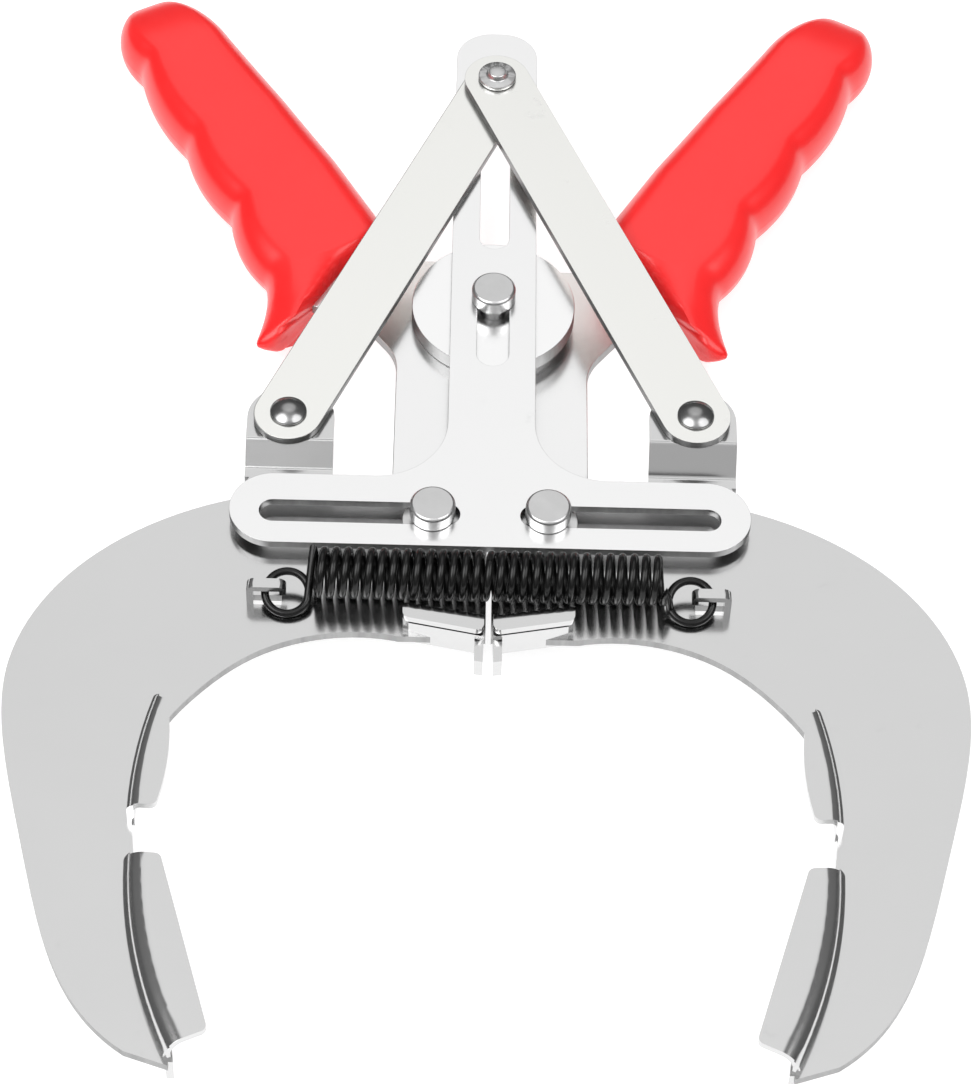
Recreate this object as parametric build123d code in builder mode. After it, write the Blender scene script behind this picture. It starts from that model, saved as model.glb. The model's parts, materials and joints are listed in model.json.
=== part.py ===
"""Piston ring pliers: two sheet-steel jaws that spread as the grips are squeezed together.

Lengths are in millimetres.  +X is to the right, +Y runs from the jaws to the grips, +Z is up
from the surface that the pliers lie on.  Each outline is drawn from the middle of the guide
plate's cross slot, which is the line that both slot pins slide along.
"""

import os
from math import atan2, cos, degrees, radians, sin, sqrt

from build123d import *

os.makedirs("parts", exist_ok=True)

# ---- pivots, measured from the middle of the cross slot ----
slot_pin_x = 9.6  # each slot pin, with the jaws closed
centre_pin_y = 48.2
top_rivet_y = 99.1
ear_rivet_x, ear_rivet_y = 34.4, 19.9

# ---- sheet and stack ----
lever_thickness = 2.0
jaw_thickness = 1.5
guide_thickness = 1.5
link_thickness = 1.5
washer_thickness = 1.0
bush_height = 1.4  # between a jaw and the guide plate
play = 0.1  # between neighbours in the stack
running = 0.06  # radial, pin in hole

# ---- pins ----
pin_r = 2.2
head_r = 3.8
head_height = 2.8
rear_head_height = 2.9
rivet_r = 1.5
ear_head_r = 3.1
dome_height = 1.1
washer_r = 5.0
link_slack = 0.5  # radial, ear rivet in link
boss_slack = 0.75  # radial, centre pin in the right lever

# ---- guide plate ----
bar_half_length = 43.4
bar_width = 14.6
bar_rise = 0.6
cross_slot_near, cross_slot_far = 5.0, 38.4
stem_width = 14.8
stem_top = top_rivet_y + 14.8
stem_corner_r = 6.4
stem_root_r = 12.0
centre_slot_width = 5.6
centre_slot_low, centre_slot_high = centre_pin_y - 15.5, centre_pin_y + 5.2
window_width = 5.2
window_low, window_high = centre_slot_high + 6.5, top_rivet_y - 6.6

# ---- links, ears and centre disc ----
link_width = 11.8
ear_width = 14.8
ear_r = 7.0
joggle_low, joggle_high = 11.4, 15.4
disc_r = 14.2
disc_thickness = 3.0

# ---- levers and grips ----
neck_half_width = 7.0
neck_corner_r = 9.0
lever_middle_r = 12.6  # round the centre pin
tang_width = 13.0
grip_thickness = 12.4
grip_edge_r = 3.6
scallop_depth = 1.5
notch_r = 2.5
guard_r = 1.5
tang_end_wall = 9.0
mouth_recess = 5.0

# ---- jaws and claws ----
jaw_gap = 0.9  # between the two jaws at the middle
claw_sheet = 1.2
channel_height = 3.3  # room for the ring between the jaw's face and a lip
lower_bend_r = 3.6  # outside of each lip's bend
upper_bend_r = 2.4
middle_bend_r = 2.6
lip_corner_r = 1.2
back_depth = 3.4  # of the tabs bent to the rear
front_wall_drop = 0.7  # of the middle tab's wall, below the jaw's back
ring_slot = 0.5  # between the middle tab's wall and its lip

# ---- spring ----
wire_d = 1.5
coil_r = 3.65  # to the wire's middle
coil_half_length = 29.2
coil_turns = 30
coil_y = -14.0
loop_r = 3.6
loop_x = coil_half_length + loop_r + wire_d - 1.3  # the loop stays joined to the coil
loop_y = -16.4
loop_lean = radians(22)
tab_slot = 4.6  # left in the jaw where a spring tab was raised

# ---- heights of the stack, from the surface below ----
rear_washer_z = rear_head_height + play
right_lever_z = rear_washer_z + washer_thickness + play
left_lever_z = right_lever_z + lever_thickness + play
jaw_z = left_lever_z + lever_thickness + play
jaw_face = jaw_z + jaw_thickness
bush_z = jaw_face + play
guide_z = bush_z + bush_height + play
guide_face = guide_z + guide_thickness
left_link_z = guide_face + play
right_link_z = left_link_z + link_thickness + play
link_face = right_link_z + link_thickness
lip_z = jaw_face + channel_height
lip_face = lip_z + claw_sheet
coil_z = jaw_face + coil_r + wire_d / 2 + 0.2
loop_z = jaw_face + wire_d / 2 + 0.15 + loop_r * sin(loop_lean)

slot_y = -10.7  # the cross slot, from the middle of the pliers' length


def level(height):
    """The drawing plane at a height, centred on the cross slot."""
    return Plane((0, slot_y, height))


def save(piece, name):
    piece.part.label = name
    export_step(piece.part, f"parts/{name}.step")


def save_mirrored(piece, name):
    with BuildPart() as other:
        add(piece.part)
        mirror(about=Plane.YZ, mode=Mode.REPLACE)
    save(other, name)


# ---------------------------------------------------------------- guide plate
with BuildPart() as guide_plate:
    with BuildSketch(level(guide_z)) as guide_outline:
        with Locations((0, bar_rise)):
            SlotOverall(2 * bar_half_length, bar_width)
        stem_foot = bar_rise + bar_width / 2 - 0.5
        with Locations((0, (stem_foot + stem_top) / 2)):
            Rectangle(stem_width, stem_top - stem_foot)
        fillet(guide_outline.vertices().group_by(Axis.Y)[-1], stem_corner_r)
        roots = guide_outline.vertices().filter_by(
            lambda v: abs(abs(v.X) - stem_width / 2) < 0.01 and v.Y < stem_top / 2
        )
        fillet(roots, stem_root_r)
        slot_length = cross_slot_far - cross_slot_near
        with Locations(*[(side * (cross_slot_near + slot_length / 2), 0) for side in (-1, 1)]):
            SlotOverall(slot_length, 2 * (pin_r + running), mode=Mode.SUBTRACT)
        for low, high, width in (
            (centre_slot_low, centre_slot_high, centre_slot_width),
            (window_low, window_high, window_width),
        ):
            with Locations((0, (low + high) / 2)):
                SlotOverall(high - low, width, rotation=90, mode=Mode.SUBTRACT)
        with Locations((0, top_rivet_y)):
            Circle(pin_r + running, mode=Mode.SUBTRACT)
    extrude(amount=guide_thickness)
save(guide_plate, "guide_plate")

with BuildPart() as top_rivet:
    with BuildSketch(Plane((0, slot_y, 0), x_dir=(1, 0, 0), z_dir=(0, -1, 0))) as rivet_half:
        with BuildLine():
            rear = guide_z - play - 1.2
            Polyline(
                (0, rear), (head_r - 0.4, rear), (head_r - 0.4, guide_z - play),
                (pin_r, guide_z - play), (pin_r, link_face + play), (3.4, link_face + play),
                (3.4, link_face + 0.9), (1.9, link_face + 1.0), (1.6, link_face + 1.9),
                (0, link_face + 2.1), close=True,
            )
        make_face()
    revolve(axis=Axis((0, slot_y, 0), (0, 0, 1)))
with BuildPart() as top_rivet_placed:
    with Locations((0, top_rivet_y, 0)):
        add(top_rivet.part)
save(top_rivet_placed, "top_rivet")


# ---------------------------------------------------------------- links
def link(side, height):
    """A bar from the top rivet to one ear, round at both ends."""
    reach = Vector(side * ear_rivet_x, ear_rivet_y) - Vector(0, top_rivet_y)
    with BuildPart() as bar:
        with BuildSketch(level(height)):
            with Locations((side * ear_rivet_x / 2, (top_rivet_y + ear_rivet_y) / 2)):
                turn = degrees(atan2(reach.Y, reach.X))
                SlotCenterToCenter(reach.length, link_width, rotation=turn)
            with Locations((0, top_rivet_y)):
                Circle(pin_r + running, mode=Mode.SUBTRACT)
            with Locations((side * ear_rivet_x, ear_rivet_y)):
                Circle(rivet_r + link_slack, mode=Mode.SUBTRACT)
        extrude(amount=link_thickness)
    return bar


save(link(-1, left_link_z), "left_link")
save(link(1, right_link_z), "right_link")


# ---------------------------------------------------------------- jaws
claw_points = [(55.2, -68.1), (53.2, -84.0), (46.6, -101.2)]
inner_points = [
    (14.7, -23.2), (26.5, -23.0), (38.5, -27.6), (46.6, -34.9), (52.4, -43.5), (55.0, -55.5),
]
outer_points = [
    (42.8, 4.6), (59.0, -2.9), (70.4, -13.7), (77.4, -30.1), (76.5, -47.1), (72.9, -62.1),
    (69.0, -76.6), (63.4, -90.6), (53.6, -101.3),
]
jaw_tip = (46.8, -103.6)
spring_tab_x, spring_tab_width, tab_sheet = 39.6, 1.9, 1.1

# each lip: where it is bent up from the jaw, and its free edge over the ring
upper_lip = [(53.4, -38.4), (55.3, -48.0), (56.0, -59.8)], [(51.4, -60.1), (50.0, -49.5), (50.8, -40.2)]
lower_lip = [(55.9, -68.6), (53.9, -84.6), (47.5, -102.8)], [(40.9, -99.8), (45.5, -84.2), (50.0, -69.0)]
tab_near, tab_far = jaw_gap / 2 + 0.3, 14.0
middle_lip = [(tab_near, -20.4), (tab_far, -18.2)], [(tab_far, -22.4), (tab_near, -25.0)]


def edge_through(points):
    return ThreePointArc(*points) if len(points) == 3 else Line(*points)


def lip(bend, free, bend_r):
    """Sheet bent up from the jaw along one edge and turned in over the ring."""
    bend, free = [Vector(*p) for p in bend], [Vector(*p) for p in free]
    inward = (free[-1] + free[0] - bend[-1] - bend[0]).normalized() * claw_sheet
    wall_back = [p + inward for p in reversed(bend)]
    with BuildPart() as sheet:
        for far_edge, height in ((wall_back, jaw_z), (free, lip_z)):
            with BuildSketch(level(height)):
                with BuildLine():
                    edge_through(bend)
                    Line(bend[-1], far_edge[0])
                    edge_through(far_edge)
                    Line(far_edge[-1], bend[0])
                make_face()
            extrude(amount=lip_face - height)
        fillet(edge_nearest(sheet, [p + inward for p in bend], lip_z), bend_r - claw_sheet)
        fillet(edge_nearest(sheet, bend, lip_face), bend_r)
        corners = [edge_nearest(sheet, [spot, spot], lip_face - claw_sheet / 2) for spot in (free[0], free[-1])]
        fillet(corners, lip_corner_r)
    return sheet


def edge_nearest(sheet, line, height):
    """The edge whose middle is nearest to the middle of a line, at a height."""
    middle = line[1] if len(line) == 3 else (line[0] + line[1]) / 2
    spot = Vector(middle.X, slot_y + middle.Y, height)
    return sheet.edges().sort_by(lambda e: (e.position_at(0.5) - spot).length)[0]


def jaw(name, ear_z):
    """One jaw with its ear, claw lips, middle tab and spring tab, drawn on the right side."""
    ear_left = ear_rivet_x + ear_r - ear_width
    ear_right = ear_rivet_x + ear_r
    with BuildPart() as plate:
        with BuildSketch(level(jaw_z)) as outline:
            with BuildLine():
                inner = Spline(*inner_points, *claw_points)
                Polyline(claw_points[-1], jaw_tip, outer_points[-1])
                outer = Spline(*reversed(outer_points))
                Polyline(
                    outer @ 1, (ear_right - 0.8, 9.4), (ear_right, joggle_low),
                    (ear_left, joggle_low), (ear_left, 7.6), (jaw_gap / 2, 7.6),
                    (jaw_gap / 2, -23.2), inner @ 0,
                )
            make_face()
            with Locations((slot_pin_x, 0)):
                Circle(pin_r + running, mode=Mode.SUBTRACT)
            with Locations((spring_tab_x - tab_sheet - tab_slot / 2, loop_y)):
                Rectangle(tab_slot, spring_tab_width, mode=Mode.SUBTRACT)
        extrude(amount=jaw_thickness)

        # ear: a raised pad beyond the joggle
        side_plane = Plane((ear_left, slot_y, 0), x_dir=(0, 1, 0), z_dir=(1, 0, 0))
        with BuildSketch(side_plane) as step:
            with BuildLine():
                Polyline(
                    (joggle_low - 2, jaw_z), (joggle_low + 0.6, jaw_z),
                    (joggle_high + 0.6, ear_z), (joggle_high + 2, ear_z),
                    (joggle_high + 2, ear_z + jaw_thickness), (joggle_high, ear_z + jaw_thickness),
                    (joggle_low, jaw_face), (joggle_low - 2, jaw_face), close=True,
                )
            make_face()
            ends = (joggle_low - 2, joggle_high + 2)
            fillet([v for v in step.vertices() if min(abs(v.X - end) for end in ends) > 0.1], 1.0)
        extrude(amount=ear_width)
        with BuildSketch(level(ear_z)) as pad:
            pad_low, pad_high = joggle_high + 1.5, ear_rivet_y + ear_r
            with Locations((ear_rivet_x + ear_r - ear_width / 2, (pad_low + pad_high) / 2)):
                Rectangle(ear_width, pad_high - pad_low)
            fillet(pad.vertices().group_by(Axis.Y)[-1], ear_r - 0.2)
        extrude(amount=jaw_thickness)
        with BuildSketch(level(ear_z)):
            with Locations((ear_rivet_x, ear_rivet_y)):
                Circle(rivet_r)
        extrude(amount=jaw_thickness, mode=Mode.SUBTRACT)

        # claw lips over the ring, and tabs bent to the rear between and below them
        for (bend, free), bend_r in (
            (upper_lip, upper_bend_r), (lower_lip, lower_bend_r), (middle_lip, middle_bend_r),
        ):
            add(lip(bend, free, bend_r).part)
        for low_y, high_y, near_x in ((-66.9, -60.5, 55.7), (-103.0, -99.6, 47.2)):
            with BuildSketch(level(jaw_z - back_depth)):
                with BuildLine():
                    lean = (high_y - low_y) * 0.12
                    Polyline(
                        (near_x, low_y), (near_x + lean, high_y),
                        (near_x + lean - claw_sheet, high_y), (near_x - claw_sheet, low_y),
                        close=True,
                    )
                make_face()
            extrude(amount=back_depth + jaw_thickness)

        # middle tab: the sheet below the lip, its front wall, and the tooth that enters the gap
        wall_near, wall_far = Vector(tab_near, -24.9), Vector(tab_far - 1.0, -22.5)
        wall_back = Vector(0, claw_sheet)
        for low, high, outline in (
            (jaw_z, jaw_face, (wall_near, wall_far, Vector(wall_far.X, -19.0), Vector(tab_near, -21.0))),
            (
                jaw_z - front_wall_drop, lip_z - ring_slot,
                (wall_near, wall_far, wall_far + wall_back, wall_near + wall_back),
            ),
            (jaw_z, lip_z - 1.0, [Vector(*spot) for spot in (
                (tab_near, -23.8), (tab_near + 0.1, -29.6), (tab_near + 1.5, -29.4), (tab_near + 1.5, -23.8),
            )]),
        ):
            with BuildSketch(level(low)):
                with BuildLine():
                    Polyline(*outline, close=True)
                make_face()
            extrude(amount=high - low)

        # spring tab: a narrow tongue raised from the sheet, over the loop and down inside it
        over = loop_z + wire_d / 2 + 0.5
        tip_x, tip_z = loop_x + 0.1, loop_z + 0.4
        with BuildSketch(Plane((0, slot_y + loop_y, 0), x_dir=(1, 0, 0), z_dir=(0, -1, 0))) as hook:
            with BuildLine():
                Polyline(
                    (spring_tab_x, jaw_z), (spring_tab_x, over + tab_sheet), (tip_x, over + tab_sheet),
                    (tip_x, tip_z), (tip_x + tab_sheet, tip_z), (tip_x + tab_sheet, over),
                    (spring_tab_x - tab_sheet, over), (spring_tab_x - tab_sheet, jaw_z), close=True,
                )
            make_face()
            upper = hook.vertices().group_by(Axis.Y)[-1]
            fillet(upper, 1.3)
        extrude(amount=spring_tab_width / 2, both=True)
    return plate


right_ear_z = right_link_z - play - jaw_thickness
left_ear_z = left_link_z - play - jaw_thickness
save(jaw("right_jaw", right_ear_z), "right_jaw")
save_mirrored(jaw("left_jaw", left_ear_z), "left_jaw")


def ear_rivet(side, ear_z, link_z):
    """A domed rivet through an ear and the end of its link."""
    rim = link_z + link_thickness + play + 0.3
    spot = Vector(side * ear_rivet_x, slot_y + ear_rivet_y)
    dome_r = (ear_head_r**2 + dome_height**2) / (2 * dome_height)
    half_way = (ear_head_r / 2, rim + dome_height - dome_r + sqrt(dome_r**2 - ear_head_r**2 / 4))
    with BuildPart() as rivet:
        with BuildSketch(Plane((spot.X, spot.Y, 0), x_dir=(1, 0, 0), z_dir=(0, -1, 0))):
            with BuildLine():
                Polyline(
                    (0, rim + dome_height), (0, ear_z - 1.0), (2.6, ear_z - 1.0), (2.6, ear_z),
                    (rivet_r, ear_z), (rivet_r, rim - 0.3), (ear_head_r, rim - 0.3),
                    (ear_head_r, rim),
                )
                ThreePointArc((ear_head_r, rim), half_way, (0, rim + dome_height))
            make_face()
        revolve(axis=Axis((spot.X, spot.Y, 0), (0, 0, 1)))
    return rivet


save(ear_rivet(-1, left_ear_z, left_link_z), "left_ear_rivet")
save(ear_rivet(1, right_ear_z, right_link_z), "right_ear_rivet")


# ---------------------------------------------------------------- pins, bushes and washers
def headed_pin(x, y, rear_z):
    """A pin with a flat head in front of the guide plate and another at the rear."""
    with BuildPart() as pin:
        with BuildSketch(Plane((x, slot_y + y, rear_z))):
            Circle(head_r)
        extrude(amount=rear_head_height - rear_z)
        with BuildSketch(Plane((x, slot_y + y, rear_head_height))):
            Circle(pin_r)
        extrude(amount=left_link_z - rear_head_height)
        with BuildSketch(Plane((x, slot_y + y, left_link_z))):
            Circle(head_r)
        extrude(amount=head_height)
        rims = pin.edges().filter_by(GeomType.CIRCLE).filter_by(lambda e: e.radius > pin_r + 0.1)
        chamfer([rims.sort_by(Axis.Z)[0], rims.sort_by(Axis.Z)[-1]], 0.4)
    return pin


def ring(x, y, z, thickness, outer_r):
    """A flat ring round a pin, carried by it."""
    with BuildPart() as washer:
        with BuildSketch(Plane((x, slot_y + y, z))):
            Circle(outer_r)
            Circle(pin_r, mode=Mode.SUBTRACT)
        extrude(amount=thickness)
    return washer


for side, name in ((-1, "left"), (1, "right")):
    x = side * slot_pin_x
    save(headed_pin(x, 0, 0), f"{name}_slot_pin")
    save(ring(x, 0, bush_z, bush_height, washer_r), f"{name}_front_bush")
    save(ring(x, 0, rear_washer_z, washer_thickness, washer_r), f"{name}_rear_washer")
save(ring(-slot_pin_x, 0, right_lever_z, lever_thickness, washer_r), "left_lever_spacer")
save(ring(slot_pin_x, 0, left_lever_z, lever_thickness, washer_r), "right_lever_spacer")
save(headed_pin(0, centre_pin_y, 0.3), "centre_pin")
save(ring(0, centre_pin_y, jaw_z, disc_thickness, disc_r), "spacer_disc")
save(ring(0, centre_pin_y, rear_washer_z, washer_thickness, washer_r + 1), "centre_rear_washer")

# ---------------------------------------------------------------- levers and grips
mouth_in, mouth_out = Vector(22.1, 71.3), Vector(38.2, 41.0)
guard_tip = (41.7, 41.6)
grip_inner = [(29.8, 84.0), (39.8, 99.0), (50.8, 114.0)]
grip_end = [(57.6, 121.3), (65.2, 124.9), (71.0, 116.6)]
notches = [(40.6, 56.4), (47.1, 71.7), (56.4, 87.8), (65.2, 105.0)]
tang_root = (mouth_in + mouth_out) / 2
tang_tip = Vector(*grip_end[0]) * 0.5 + Vector(*grip_end[2]) * 0.5
tang_way = (tang_tip - tang_root).normalized()


def is_at(corner, *points):
    return any(abs(corner.X - x) + abs(corner.Y - y) < 0.1 for x, y in points)


def tang(width, start, end):
    """The bar inside a grip, from a distance before its root to a distance before its tip."""
    across = Vector(-tang_way.Y, tang_way.X) * (width / 2)
    low = tang_root - tang_way * start
    high = tang_tip - tang_way * end
    with BuildLine(mode=Mode.PRIVATE) as outline:
        Polyline(low - across, high - across, high + across, low + across, close=True)
    return outline.line


def lever(height, hole_r):
    """A lever from its slot pin, over the centre pin and into the grip, on the right side."""
    neck_corner = (slot_pin_x + neck_half_width, 38.6)
    with BuildPart() as plate:
        with BuildSketch(level(height)) as outline:
            with BuildLine():
                Polyline(
                    (slot_pin_x - neck_half_width, 0), (slot_pin_x + neck_half_width, 0),
                    neck_corner, (22.4, 46.0),
                    tang_root - Vector(-tang_way.Y, tang_way.X) * 8.6,
                    tang_root + Vector(-tang_way.Y, tang_way.X) * 8.6,
                    (13.8, 60.9), (-4, 60.9), (-11, 52), (slot_pin_x - neck_half_width, 35),
                    close=True,
                )
            make_face()
            fillet([v for v in outline.vertices() if is_at(v, neck_corner)], neck_corner_r)
            make_face(tang(tang_width, 3, tang_end_wall).edges())
            with Locations((0, centre_pin_y)):
                Circle(lever_middle_r)
            with Locations((slot_pin_x, 0)):
                Circle(neck_half_width)
                Circle(pin_r + running, mode=Mode.SUBTRACT)
            with Locations((0, centre_pin_y)):
                Circle(hole_r, mode=Mode.SUBTRACT)
        extrude(amount=lever_thickness)
    return plate


def grip(lever_z):
    """A moulded sleeve with finger scallops and a guard, pocketed to fit the lever's tang."""
    with BuildPart() as sleeve:
        with BuildSketch(level(0)) as outline:
            with BuildLine():
                inner = Spline(mouth_in, *grip_inner, grip_end[0])
                ThreePointArc(*grip_end)
                SagittaArc(grip_end[2], notches[3], -scallop_depth)
                for low, high in zip(notches[2::-1], notches[:0:-1]):
                    SagittaArc(high, low, -scallop_depth)
                Polyline(notches[0], guard_tip, mouth_out, mouth_in)
            make_face()
            fillet([v for v in outline.vertices() if is_at(v, *notches)], notch_r)
            fillet([v for v in outline.vertices() if is_at(v, guard_tip)], guard_r)
        extrude(amount=grip_thickness)
        rims = sleeve.edges().filter_by(Plane.XY).group_by(Axis.Z)
        mouth_middle = Vector(tang_root.X, slot_y + tang_root.Y)
        long_rims = [
            e for e in rims[0] + rims[-1]
            if (Vector(e.center().X, e.center().Y) - mouth_middle).length > 3
        ]
        fillet(long_rims, grip_edge_r)
        with BuildSketch(level(lever_z)):
            make_face(tang(tang_width, 12, tang_end_wall).edges())
        extrude(amount=lever_thickness, mode=Mode.SUBTRACT)
        with BuildSketch(level((grip_thickness - 7) / 2)):
            make_face(tang(tang_width + 4.5, 12, (tang_tip - tang_root).length - mouth_recess).edges())
        extrude(amount=7, mode=Mode.SUBTRACT)
    return sleeve


save(lever(right_lever_z, pin_r + boss_slack), "right_lever")
save_mirrored(lever(left_lever_z, pin_r), "left_lever")
save(grip(right_lever_z), "right_grip")
save_mirrored(grip(left_lever_z), "left_grip")

# ---------------------------------------------------------------- spring
with BuildPart() as spring:
    with BuildLine() as coil_path:
        Helix(
            2 * coil_half_length / coil_turns, 2 * coil_half_length, coil_r,
            center=(-coil_half_length, slot_y + coil_y, coil_z), direction=(1, 0, 0),
        )
    with BuildSketch(Plane(coil_path.line @ 0, z_dir=coil_path.line % 0)):
        Circle(wire_d / 2)
    sweep(path=coil_path.line, is_frenet=True)
    for side in (-1, 1):
        loop_spot = (side * loop_x, slot_y + loop_y, loop_z)
        with Locations(Plane(loop_spot, z_dir=(0, -sin(loop_lean), cos(loop_lean)))):
            Torus(loop_r, wire_d / 2)
save(spring, "return_spring")
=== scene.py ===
"""Piston ring pliers, finished for display.

The plates, pins and rivets are those of the solid model, with their sharp edges eased.  The
moulded grips and the black spring are modelled here.  Everything is in metres, in the pliers' own frame:
+X right, +Y from the jaws to the grips, +Z up from the surface that they lie on.
"""

import json
from math import cos, pi, radians, sin, tau

import bpy
from mathutils import Matrix, Vector

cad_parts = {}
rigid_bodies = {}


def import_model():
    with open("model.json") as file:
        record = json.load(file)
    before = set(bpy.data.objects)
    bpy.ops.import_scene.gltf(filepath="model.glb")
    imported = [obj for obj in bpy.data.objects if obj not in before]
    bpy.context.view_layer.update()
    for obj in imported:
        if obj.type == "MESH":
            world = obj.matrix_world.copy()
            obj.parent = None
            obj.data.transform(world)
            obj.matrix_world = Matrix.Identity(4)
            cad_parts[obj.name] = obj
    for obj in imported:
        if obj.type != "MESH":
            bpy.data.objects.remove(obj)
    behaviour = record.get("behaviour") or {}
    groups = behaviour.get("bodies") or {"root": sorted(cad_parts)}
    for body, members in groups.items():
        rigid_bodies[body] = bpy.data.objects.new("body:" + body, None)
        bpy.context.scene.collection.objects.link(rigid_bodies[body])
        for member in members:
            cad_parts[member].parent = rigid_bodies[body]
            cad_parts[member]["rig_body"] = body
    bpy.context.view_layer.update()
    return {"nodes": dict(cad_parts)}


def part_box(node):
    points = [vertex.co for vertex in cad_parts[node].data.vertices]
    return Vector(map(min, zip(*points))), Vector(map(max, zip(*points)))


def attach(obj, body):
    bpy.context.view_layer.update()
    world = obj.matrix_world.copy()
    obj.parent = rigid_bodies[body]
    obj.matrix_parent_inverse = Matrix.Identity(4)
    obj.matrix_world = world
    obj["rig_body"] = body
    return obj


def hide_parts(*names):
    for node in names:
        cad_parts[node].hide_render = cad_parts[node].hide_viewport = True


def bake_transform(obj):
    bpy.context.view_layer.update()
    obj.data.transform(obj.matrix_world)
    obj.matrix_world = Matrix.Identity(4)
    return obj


MM = 0.001
REAR_OF_SHEET = 3.4 * MM  # from a jaw's lowest point up to the rear of its flat sheet
JAW_SHEET = 1.5 * MM
SLACK = 0.1 * MM
SQUARE = 0.3  # a face whose normal rises less than this is square to the sheet

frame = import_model()

# The slot pins ride along the cross slot, so their middle is the line that part sizes start from.
left_pin_low, left_pin_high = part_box("left_slot_pin")
slot_y = (left_pin_low.y + left_pin_high.y) / 2
jaw_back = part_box("left_jaw")[0].z + REAR_OF_SHEET


# ---------------------------------------------------------------- small modelling helpers
def select_only(piece):
    bpy.ops.object.select_all(action="DESELECT")
    piece.select_set(True)
    bpy.context.view_layer.objects.active = piece


def edit(piece):
    """Enters edit mode with everything on the piece selected."""
    select_only(piece)
    bpy.ops.object.mode_set(mode="EDIT")
    bpy.ops.mesh.select_all(action="SELECT")


def done():
    bpy.ops.object.mode_set(mode="OBJECT")


def extrude(step):
    """Extrudes what is selected and moves it by a step."""
    bpy.ops.mesh.extrude_region_move(TRANSFORM_OT_translate={"value": step})


def apply_modifier(piece, kind, **settings):
    select_only(piece)
    modifier = piece.modifiers.new(kind.title(), kind)
    for name, value in settings.items():
        setattr(modifier, name, value)
    bpy.ops.object.modifier_apply(modifier=modifier.name)


def smooth_below(piece, angle):
    """Shades smooth over every edge that turns by less than the angle."""
    select_only(piece)
    bpy.ops.object.shade_smooth_by_angle(angle=angle)


def finish_piece(piece, material, nodes):
    """Gives a finished piece its material and hides the parts of the solid model that it stands for."""
    if material.name not in piece.data.materials:
        piece.data.materials.clear()
        piece.data.materials.append(material)
    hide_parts(*nodes)


# ---------------------------------------------------------------- material helpers
class Wire:
    """An output of a node tree, with arithmetic on it."""

    def __init__(self, tree, socket=None):
        self.tree, self.socket = tree, socket

    def node(self, kind, inputs=None, output=0, **settings):
        """Adds a node: its settings first, then the values or wires of its inputs."""
        made = self.tree.nodes.new("ShaderNode" + kind)
        for name, value in settings.items():
            setattr(made, name, value)
        for name, value in (inputs or {}).items():
            if isinstance(value, Wire):
                self.tree.links.new(value.socket, made.inputs[name])
            else:
                made.inputs[name].default_value = value
        return Wire(self.tree, made.outputs[output])

    def _math(self, operation, first, second):
        return self.node("Math", {0: first, 1: second}, operation=operation)

    def __add__(self, other):
        return self._math("ADD", self, other)

    def __sub__(self, other):
        return self._math("SUBTRACT", self, other)

    def __mul__(self, other):
        return self._math("MULTIPLY", self, other)

    def __truediv__(self, other):
        return self._math("DIVIDE", self, other)

    def __rtruediv__(self, other):
        return self._math("DIVIDE", other, self)

    def between(self, low, high):
        """0 below low, 1 above high."""
        return self.node(
            "MapRange", {0: self, 1: low, 2: high}, interpolation_type="SMOOTHSTEP"
        )


def grey(value):
    return (value, value, value, 1)


def new_material(name):
    """An empty material, its shader node and a wire to start its pattern from."""
    material = bpy.data.materials.new(name)
    material.use_nodes = True
    shader = material.node_tree.nodes["Principled BSDF"]
    return material, shader, Wire(material.node_tree)


def connect(shader, start, **sockets):
    """Sets the shader's sockets, each to a value or a wire."""
    for name, value in sockets.items():
        socket = shader.inputs[name.replace("_", " ").title()]
        if isinstance(value, Wire):
            start.tree.links.new(value.socket, socket)
        else:
            socket.default_value = value


def noise(start, place, scale, detail=3.0, roughness=0.55, stretch=(1, 1, 1), turn=0.0):
    """Noise in features per metre, stretched along the axes, optionally turned about Z."""
    spot = start.node("Mapping", {"Vector": place, "Scale": stretch, "Rotation": (0, 0, turn)})
    return start.node(
        "TexNoise", {"Vector": spot, "Scale": scale, "Detail": detail, "Roughness": roughness}
    )


def mix_colours(start, amount, first, second):
    return start.node("Mix", {0: amount, 6: first, 7: second}, output=2, data_type="RGBA")


def bump(start, height, strength, distance):
    return start.node("Bump", {"Height": height, "Strength": strength, "Distance": distance})


# ---------------------------------------------------------------- materials
def zinc_sheet(name, tone, roughness, turn=0.0, blue=1.0):
    """Bright zinc on rolled sheet: soft clouding, faint rolling lines and a few stains."""
    material, shader, start = new_material(name)
    place = start.node("TexCoord", output="Object")
    clouds = noise(start, place, scale=38.0, detail=4.0)
    lines = noise(
        start, place, scale=50.0, detail=5.0, roughness=0.7, stretch=(1, 30, 30), turn=turn
    )
    grain = noise(start, place, scale=1900.0, detail=2.0)
    stains = noise(start, place, scale=110.0, detail=6.0, roughness=0.7).between(0.62, 0.80)
    dull, bright = tone * 0.95, tone * 1.04
    plated = mix_colours(
        start, clouds * 0.7 + lines * 0.3,
        (dull, dull, dull * blue, 1), (bright, bright, bright * blue, 1),
    )
    connect(
        shader, start, metallic=1.0,
        base_color=mix_colours(start, stains * 0.30, plated, grey(tone * 0.70)),
        roughness=clouds * 0.08 + lines * 0.04 + stains * 0.08 + (roughness - 0.06),
        normal=bump(start, lines * 0.6 + grain * 0.4, strength=0.06, distance=0.03 * MM),
    )
    return material


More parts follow.
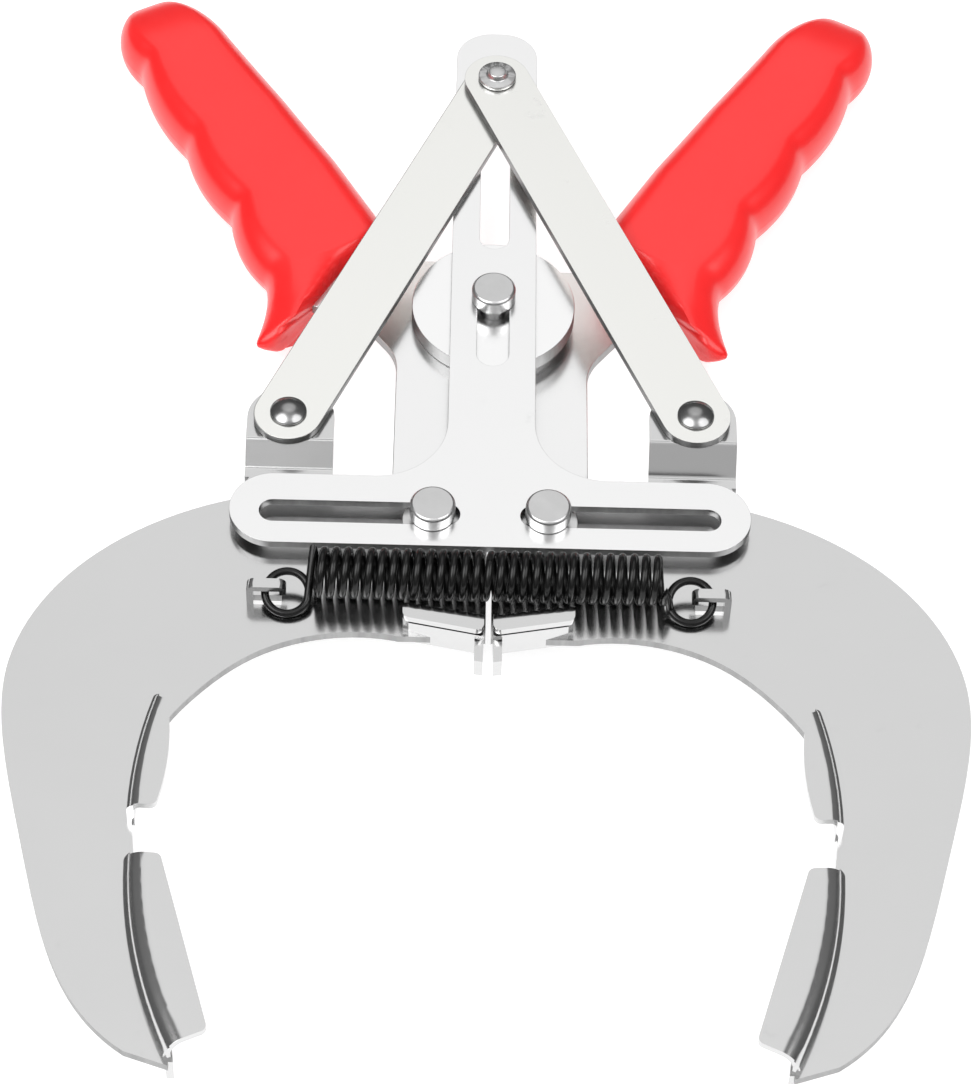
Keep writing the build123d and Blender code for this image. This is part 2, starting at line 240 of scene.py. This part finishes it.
def sheared_edge():
    """The sheared rim of the sheet: duller and streaked across its thickness."""
    material, shader, start = new_material("sheared_edge")
    place = start.node("TexCoord", output="Object")
    streaks = noise(
        start, place, scale=420.0, detail=4.0, roughness=0.7, stretch=(1, 1, 0.08)
    )
    connect(
        shader, start, metallic=1.0,
        base_color=mix_colours(start, streaks, grey(0.16), grey(0.50)),
        roughness=streaks * 0.20 + 0.28,
        normal=bump(start, streaks, strength=0.20, distance=0.05 * MM),
    )
    return material


def turned_steel(name, tone, roughness):
    """Turned and plated heads, with a soft satin grain."""
    material, shader, start = new_material(name)
    place = start.node("TexCoord", output="Object")
    clouds = noise(start, place, scale=260.0, detail=4.0)
    grain = noise(start, place, scale=2600.0)
    connect(
        shader, start, metallic=1.0,
        base_color=mix_colours(start, clouds, grey(tone * 0.82), grey(tone * 1.12)),
        roughness=clouds * 0.14 + grain * 0.08 + (roughness - 0.10),
        normal=bump(start, grain, strength=0.12, distance=0.04 * MM),
    )
    return material


def black_spring_wire():
    """Oil-blackened wire: almost black, with faint draw marks and a slight gloss."""
    material, shader, start = new_material("black_spring_wire")
    place = start.node("TexCoord", output="Object")
    patches = noise(start, place, scale=700.0)
    grain = noise(start, place, scale=5200.0, detail=2.0)
    connect(
        shader, start,
        base_color=mix_colours(start, patches, grey(0.002), grey(0.008)),
        roughness=patches * 0.14 + 0.16,
        normal=bump(start, grain, strength=0.15, distance=0.03 * MM),
    )
    shader.inputs["Specular IOR Level"].default_value = 0.35
    return material


def red_vinyl(middle_z):
    """Dip-moulded vinyl: saturated red, a soft gloss, faint flow marks and a parting line."""
    line_width = 0.28 * MM
    material, shader, start = new_material("red_vinyl")
    place = start.node("TexCoord", output="Object")
    flow = noise(start, place, scale=60.0)
    pores = noise(start, place, scale=1500.0)
    height = start.node("SeparateXYZ", {"Vector": place}, output=2)
    off_line = (height - middle_z) / line_width
    parting = 1 / (off_line * off_line + 1)
    connect(
        shader, start,
        base_color=mix_colours(start, flow, (0.88, 0.010, 0.012, 1), (0.96, 0.022, 0.022, 1)),
        roughness=flow * 0.10 + pores * 0.06 + 0.24,
        normal=bump(
            start, parting * 0.6 + pores * 0.10 + flow * 0.5, strength=0.22, distance=0.20 * MM
        ),
        subsurface_weight=0.06, subsurface_radius=(0.0030, 0.0006, 0.0005),
        coat_weight=0.25, coat_roughness=0.18,
    )
    return material


# ---------------------------------------------------------------- plates, pins and rivets
def is_rim(piece, face, bent):
    """True for a face that is square to the sheet and, on a bent part, within its flat sheet."""
    heights = [piece.data.vertices[i].co.z for i in face.vertices]
    above_rear = min(heights) > jaw_back - SLACK
    below_front = max(heights) < jaw_back + JAW_SHEET + SLACK
    return abs(face.normal.z) < SQUARE and (above_rear and below_front or not bent)


def ease_edges(name, material, width, rim=None):
    """Copies a part of the solid model, eases its edges and lets the copy stand for it.

    The rim of a sheet part takes the sheared finish.
    """
    packed = frame["nodes"][name]
    piece = bpy.data.objects.new(f"{name}_finished", packed.data.copy())
    bpy.context.scene.collection.objects.link(piece)
    select_only(piece)
    if piece.data.has_custom_normals:
        bpy.ops.mesh.customdata_custom_splitnormals_clear()
    edit(piece)
    bpy.ops.mesh.remove_doubles(threshold=0.002 * MM)
    bpy.ops.mesh.dissolve_limited(angle_limit=radians(0.25))
    done()
    piece.data.materials.clear()
    piece.data.materials.append(material)
    if rim:
        piece.data.materials.append(rim)
        for face in piece.data.polygons:
            face.material_index = int(is_rim(piece, face, bent="jaw" in name))
    apply_modifier(
        piece, "BEVEL", width=width, segments=2, limit_method="ANGLE", angle_limit=radians(38),
        use_clamp_overlap=True,
    )
    smooth_below(piece, radians(32))
    apply_modifier(piece, "WEIGHTED_NORMAL", weight=100, keep_sharp=True)
    finish_piece(piece, material, [name])
    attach(piece, packed["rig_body"])


# ---------------------------------------------------------------- grips
# A grip is drawn by its own middle line: Y runs from the mouth to the far end, and +X is the
# finger side.
GRIP_START = Vector((28.85, 56.35)) * MM  # from the cross slot, inside the mouth
GRIP_TURN = radians(29.5)  # from +Y towards +X
GRIP_LENGTH = 77.3  # millimetres, as are the other places along a grip
FIRST_STATION, STATION_STEP, STATIONS = -13, 1.25, 73
CORNER = 5.0 * MM

FINGER_SIDE = ((5.8, 10.2), (22.4, 8.4), (41.4, 8.2), (62.6, 7.1), (79.5, 7.4))  # the notches
LOBE, LOBE_FULLNESS = 1.55, 0.8  # the rise between two notches
THUMB_SIDE = ((-12, 14.4), (9.7, 14.3), (24.5, 13.9), (42.5, 12.6), (61.0, 10.9), (78, 10.0))

GUARD_TIP, GUARD_OUT = -6.8, 18.4  # where the guard ends, and how far out
GUARD_UNDERSIDE, GUARD_HOLLOW = 1.7, 1.6  # slope below the tip, power of the curve above it
GUARD_THINNING = 0.60  # of its thickness, at the tip

END_FROM, END_FULLNESS, END_SHIFT = 62.5, 0.42, 0.25  # the rounded far end
END_LEAST = 0.02  # keeps the very end from closing to a point
END_MARGIN = 0.1

# Starts and lengths of gradual changes along a grip, or across it.
MOUTH_THICKNESS, THICKENS_ALONG = 0.84, (-12.0, 30.0)  # from this share of the full thickness
THINS_ACROSS, THICKENS_AFTER_GUARD = (5.0, 13.0), (-2.0, 14.0)

MOUTH_MIDDLE = Vector((0.0, -1.7, 0)) * MM
MOUTH_WAY = (Matrix.Rotation(GRIP_TURN, 4, "Z") @ Vector((-27.5, -18.7, 0))).normalized()
MOUTH_EDGE, MOUTH_WALL = 0.35 * MM, 1.5 * MM
MOUTH_STEP, MOUTH_DEPTH = 0.4 * MM, 4.6 * MM
RECESS_TAPER = (0.9, 0.9, 0.8)


def neighbours(table, y):
    """The values of a (y, value) table before and after y, and how far y is between them."""
    for (low, before), (high, after) in zip(table, table[1:]):
        if y <= high:
            break
    return before, after, max(0.0, (y - low) / (high - low))


def ramp(value, start, length):
    """0 up to the start, 1 beyond the length."""
    return min(1.0, max(0.0, (value - start) / length))


def finger_side(y):
    """How far the scalloped side stands out, in millimetres, with the guard at the mouth."""
    if y < GUARD_TIP:
        return GUARD_OUT + (y - GUARD_TIP) * GUARD_UNDERSIDE
    first, across = FINGER_SIDE[0]
    if y < first:
        t = (first - y) / (first - GUARD_TIP)
        return across + (GUARD_OUT - across) * t**GUARD_HOLLOW
    before, after, t = neighbours(FINGER_SIDE, y)
    return before + (after - before) * t + LOBE * sin(pi * t) ** LOBE_FULLNESS


def thumb_side(y):
    """How far the plain side stands out, in millimetres."""
    before, after, t = neighbours(THUMB_SIDE, y)
    return before + (after - before) * t


def grip_section(y, half_thick):
    """Middle, half width and half thickness of a grip at one station, in metres."""
    out, back = finger_side(y), thumb_side(y)
    t = max(0.0, (y - END_FROM) / (GRIP_LENGTH - END_FROM))
    round_off = max(END_LEAST, 1 - t * t) ** END_FULLNESS
    middle = (out - back) / 2 * (1 - END_SHIFT * t)
    thickness = MOUTH_THICKNESS + (1 - MOUTH_THICKNESS) * ramp(y, *THICKENS_ALONG)
    return middle * MM, (out + back) / 2 * MM * round_off, half_thick * round_off * thickness


def grip_bar(name, half_thick):
    """The solid bar of a grip, extruded from station to station."""
    stations = [FIRST_STATION + STATION_STEP * i for i in range(STATIONS)]
    stations.append(GRIP_LENGTH - END_MARGIN)
    bpy.ops.object.select_all(action="DESELECT")
    bpy.ops.mesh.primitive_plane_add(size=2, rotation=(pi / 2, 0, 0))
    piece = bpy.context.object
    piece.name = name
    bpy.ops.object.transform_apply(location=False, rotation=True, scale=True)
    edit(piece)
    last_y = stations[0] * MM
    last_middle, last_wide, last_thick = grip_section(stations[0], half_thick)
    bpy.ops.transform.resize(value=(last_wide, 1, last_thick), center_override=(0, 0, 0))
    bpy.ops.mesh.bevel(offset=CORNER, segments=6, affect="VERTICES", profile=0.5)
    bpy.ops.mesh.select_all(action="SELECT")
    bpy.ops.transform.translate(value=(last_middle, last_y, 0))
    for station in stations[1:]:
        y = station * MM
        middle, wide, thick = grip_section(station, half_thick)
        extrude((middle - last_middle, y - last_y, 0))
        bpy.ops.transform.resize(
            value=(wide / last_wide, 1, thick / last_thick), center_override=(middle, y, 0)
        )
        last_y, last_middle, last_wide, last_thick = y, middle, wide, thick
    done()
    return piece


def open_mouth(piece):
    """Cuts a grip off at its mouth and sinks a recess into the cut."""
    edit(piece)
    bpy.ops.mesh.bisect(
        plane_co=MOUTH_MIDDLE, plane_no=MOUTH_WAY, use_fill=True,
        clear_outer=True, clear_inner=False,
    )
    bpy.ops.mesh.select_mode(type="FACE")
    done()
    mouth = MOUTH_MIDDLE.dot(MOUTH_WAY)
    for face in piece.data.polygons:
        at_mouth = abs(face.center.dot(MOUTH_WAY) - mouth) < 0.5 * MM
        face.select = at_mouth and face.normal.dot(MOUTH_WAY) > 0.98
    bpy.ops.object.mode_set(mode="EDIT")
    bpy.ops.mesh.inset(thickness=MOUTH_EDGE, depth=0)
    bpy.ops.mesh.inset(thickness=MOUTH_WALL, depth=0)
    extrude(-MOUTH_WAY * MOUTH_STEP)
    extrude(-MOUTH_WAY * (MOUTH_DEPTH - MOUTH_STEP))
    bpy.ops.transform.resize(
        value=RECESS_TAPER, center_override=MOUTH_MIDDLE - MOUTH_WAY * MOUTH_DEPTH
    )
    bpy.ops.mesh.select_all(action="SELECT")
    bpy.ops.mesh.normals_make_consistent(inside=False)
    done()


def make_grip(side, material):
    """A rounded bar with finger scallops, a guard and a recessed mouth."""
    name = "right_grip" if side > 0 else "left_grip"
    low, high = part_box(name)
    half_thick = (high.z - low.z) / 2
    piece = grip_bar(f"{name}_moulded", half_thick)
    open_mouth(piece)
    for point in piece.data.vertices:
        past_body = ramp(point.co.x / MM, *THINS_ACROSS)
        near_mouth = 1 - ramp(point.co.y / MM, *THICKENS_AFTER_GUARD)
        point.co.z *= 1 - GUARD_THINNING * past_body * near_mouth
    apply_modifier(piece, "SUBSURF", levels=1, render_levels=1)
    start = (GRIP_START.x, slot_y + GRIP_START.y, low.z + half_thick)
    place = Matrix.Translation(start) @ Matrix.Rotation(-GRIP_TURN, 4, "Z")
    piece.data.transform(Matrix.Scale(side, 4, (1, 0, 0)) @ place)
    if side < 0:
        piece.data.flip_normals()
    smooth_below(piece, radians(50))
    finish_piece(piece, material, [name])
    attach(piece, f"{name.split('_')[0]}_lever")


# ---------------------------------------------------------------- return spring
WIRE_R = 0.67 * MM
COIL_R = 3.65 * MM
COIL_HALF = 29.2 * MM
COIL_FROM_SLOT = 14.0 * MM
TURNS, POINTS_PER_TURN = 30, 22
LAST_POINT = 0.4 * MM  # how far before the coil's end its last point is
SPLIT = 13.0 * MM  # SPLIT = 13.0 * MM # where a half of the coil is split into its inner and outer pieces
LOOP_R, LOOP_LEAN = 3.6 * MM, radians(22)
LOOP_OUT, LOOP_FROM_SLOT = 33.0 * MM, 16.4 * MM
LOOP_POINTS, LOOP_FIRST, LOOP_SWEEP = 37, -160, 330  # the last two in degrees
LEAD = 1.2 * MM  # how far the wire runs on past the coil's last point
BRIDGE = (0.35, 0.7)  # points on the way from there to the loop


def coil_point(x, middle):
    """The wire's middle at a place along the coil."""
    turn = tau * TURNS * x / (2 * COIL_HALF)
    return Vector((x, middle.y + COIL_R * sin(turn), middle.z + COIL_R * cos(turn)))


def loop_points(side, start, way, loop):
    """The wire from the coil's last turn round the end loop, nearly closed."""
    ring = []
    for i in range(LOOP_POINTS):
        angle = radians(LOOP_FIRST + LOOP_SWEEP * i / (LOOP_POINTS - 1))
        up = sin(angle) * LOOP_R
        from_loop = (side * cos(angle) * LOOP_R, up * cos(LOOP_LEAN), up * sin(LOOP_LEAN))
        ring.append(loop + Vector(from_loop))
    lead = start + way.normalized() * LEAD
    return [lead, *(lead.lerp(ring[0], t) for t in BRIDGE), *ring]


def wire_piece(name, points, material):
    """A round wire through points, as a mesh."""
    curve = bpy.data.curves.new(name, "CURVE")
    curve.dimensions = "3D"
    curve.bevel_depth = WIRE_R
    curve.bevel_resolution = 3
    curve.use_fill_caps = True
    spline = curve.splines.new("POLY")
    spline.points.add(len(points) - 1)
    for spot, point in zip(spline.points, points):
        spot.co = (*point, 1)
    rough = bpy.data.objects.new(name, curve)
    bpy.context.scene.collection.objects.link(rough)
    select_only(rough)
    bpy.ops.object.convert(target="MESH")
    piece = bpy.context.object
    smooth_below(piece, radians(50))
    finish_piece(piece, material, ["return_spring"])
    return piece


def make_spring(material):
    """Both halves of the coil, each in two pieces: the inner turns, and the outer turns with the end
    loop.
    """
    low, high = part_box("return_spring")
    middle = Vector((0, slot_y - COIL_FROM_SLOT, high.z - COIL_R - WIRE_R))
    loop_z = low.z + LOOP_R * sin(LOOP_LEAN) + WIRE_R
    step = 2 * COIL_HALF / TURNS / POINTS_PER_TURN
    split, last = round(SPLIT / step), round((COIL_HALF - LAST_POINT) / step)
    for side, name in ((-1, "left"), (1, "right")):
        coil = [coil_point(side * i * step, middle) for i in range(last + 1)]
        piece = wire_piece(f"{name}_spring_inner", coil[: split + 1], material)
        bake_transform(piece)
        loop = Vector((side * LOOP_OUT, slot_y - LOOP_FROM_SLOT, loop_z))
        outer = coil[split:] + loop_points(side, coil[-1], coil[-1] - coil[-2], loop)
        piece = wire_piece(f"{name}_spring_outer", outer, material)
        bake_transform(piece)


# ---------------------------------------------------------------- studio
def nearness(start, way, direction):
    """How close a way is to a direction: 1 along it, 0 square to it."""
    return start.node("VectorMath", {0: way, 1: direction}, output=1, operation="DOT_PRODUCT")


def make_world():
    """White panels behind, above and in front of the tool in a dim room, so that flat sheet is
    light and every bend has a dark band."""
    world = bpy.data.worlds.new("studio")
    world.use_nodes = True
    bpy.context.scene.world = world
    start = Wire(world.node_tree)
    way = start.node("TexCoord", output="Generated")
    up = start.node("SeparateXYZ", {"Vector": way}, output=2)
    rear_panel = nearness(start, way, (0.0, 0.58, 0.815)).between(0.90, 0.965)
    front_panel = nearness(start, way, (0.0, -0.6, 0.8)).between(0.72, 0.97)
    top_panel = up.between(0.86, 0.95)
    room = up.between(-0.1, 0.6) * 0.10 + 0.09
    light = rear_panel * 0.88 + top_panel * 0.4 + front_panel * 0.46 + room
    background = world.node_tree.nodes["Background"]
    world.node_tree.links.new(light.socket, background.inputs["Color"])
    background.inputs["Strength"].default_value = 1.0


def area_light(name, place, size, power):
    """A round lamp that shines at the middle of the tool."""
    light = bpy.data.lights.new(name, "AREA")
    light.shape, light.size, light.energy = "DISK", size, power
    lamp = bpy.data.objects.new(name, light)
    lamp.location = place
    lamp.rotation_euler = (-Vector(place)).to_track_quat("-Z", "Y").to_euler()
    bpy.context.scene.collection.objects.link(lamp)


def make_floor():
    """A plain pale floor, just under the tool."""
    bpy.ops.object.select_all(action="DESELECT")
    bpy.ops.mesh.primitive_plane_add(size=3, location=(0, 0, -0.2 * MM))
    floor = bpy.context.object
    floor.name = "floor"
    material, shader, start = new_material("pale_floor")
    connect(
        shader, start, base_color=grey(0.55), roughness=0.9,
        emission_color=grey(1), emission_strength=0.72,
    )
    floor.data.materials.append(material)


def make_camera():
    """Looks at the cross slot from the jaws' side, 52 degrees above the floor."""
    distance, across, down = 0.600, -0.33 * MM, 2.1 * MM
    sway, tilt, roll = radians(-0.8), radians(38.0), radians(0.9)
    camera = bpy.data.cameras.new("camera")
    camera.sensor_width = 36
    camera.lens = 119.56
    seat = bpy.data.objects.new("camera", camera)
    bpy.context.scene.collection.objects.link(seat)
    turn = (
        Matrix.Rotation(sway, 4, "Y")
        @ Matrix.Rotation(tilt, 4, "X")
        @ Matrix.Rotation(roll, 4, "Z")
    )
    aim = Matrix.Translation((across, slot_y - down, jaw_back))
    seat.matrix_world = aim @ turn @ Matrix.Translation((0, 0, distance))
    bpy.context.scene.camera = seat


# ---------------------------------------------------------------- build
# The sheet parts share one zinc plating but get a tone each. The levers' and the disc's tones are set
# lighter as painted light, to make up for the shade they sit in.
guide_zinc = zinc_sheet("zinc_sheet_guide", tone=0.86, roughness=0.22)
jaw_zinc = zinc_sheet("zinc_sheet_jaws", tone=0.615, roughness=0.17)
left_link_zinc = zinc_sheet(
    "zinc_sheet_left_link", tone=0.87, roughness=0.26, turn=radians(-24), blue=0.97
)
right_link_zinc = zinc_sheet(
    "zinc_sheet_right_link", tone=0.86, roughness=0.26, turn=radians(24), blue=0.97
)
lever_zinc_lightened = zinc_sheet("zinc_sheet_levers", tone=0.84, roughness=0.20, turn=radians(90))
disc_zinc_lightened = zinc_sheet("zinc_disc", tone=0.90, roughness=0.22)
sheared = sheared_edge()
head_steel = turned_steel("turned_head", tone=0.62, roughness=0.30)
dome_steel = turned_steel("burnished_dome", tone=0.34, roughness=0.22)
washer_steel = turned_steel("washer_zinc", tone=0.66, roughness=0.30)

for part, sheet in (
    ("guide_plate", guide_zinc), ("left_jaw", jaw_zinc), ("right_jaw", jaw_zinc),
    ("left_link", left_link_zinc), ("right_link", right_link_zinc),
    ("left_lever", lever_zinc_lightened), ("right_lever", lever_zinc_lightened),
):
    ease_edges(part, sheet, width=0.24 * MM, rim=sheared)
for part in ("left_slot_pin", "right_slot_pin", "centre_pin", "top_rivet"):
    ease_edges(part, head_steel, width=0.15 * MM)
for part in ("left_ear_rivet", "right_ear_rivet"):
    ease_edges(part, dome_steel, width=0.10 * MM)
for part in (
    "left_front_bush", "right_front_bush", "left_lever_spacer", "right_lever_spacer",
    "left_rear_washer", "right_rear_washer", "centre_rear_washer",
):
    ease_edges(part, washer_steel, width=0.12 * MM)
ease_edges("spacer_disc", disc_zinc_lightened, width=0.14 * MM, rim=sheared)

grip_low, grip_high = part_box("left_grip")
vinyl = red_vinyl((grip_low.z + grip_high.z) / 2)
for side in (-1, 1):
    make_grip(side, vinyl)
make_spring(black_spring_wire())

make_world()
make_floor()
area_light("front_left", (-0.75, -0.40, 1.25), size=1.30, power=15.0)
area_light("front_right", (0.80, -0.30, 1.15), size=1.10, power=8.0)
make_camera()
bpy.context.scene.view_settings.view_transform = "Standard"
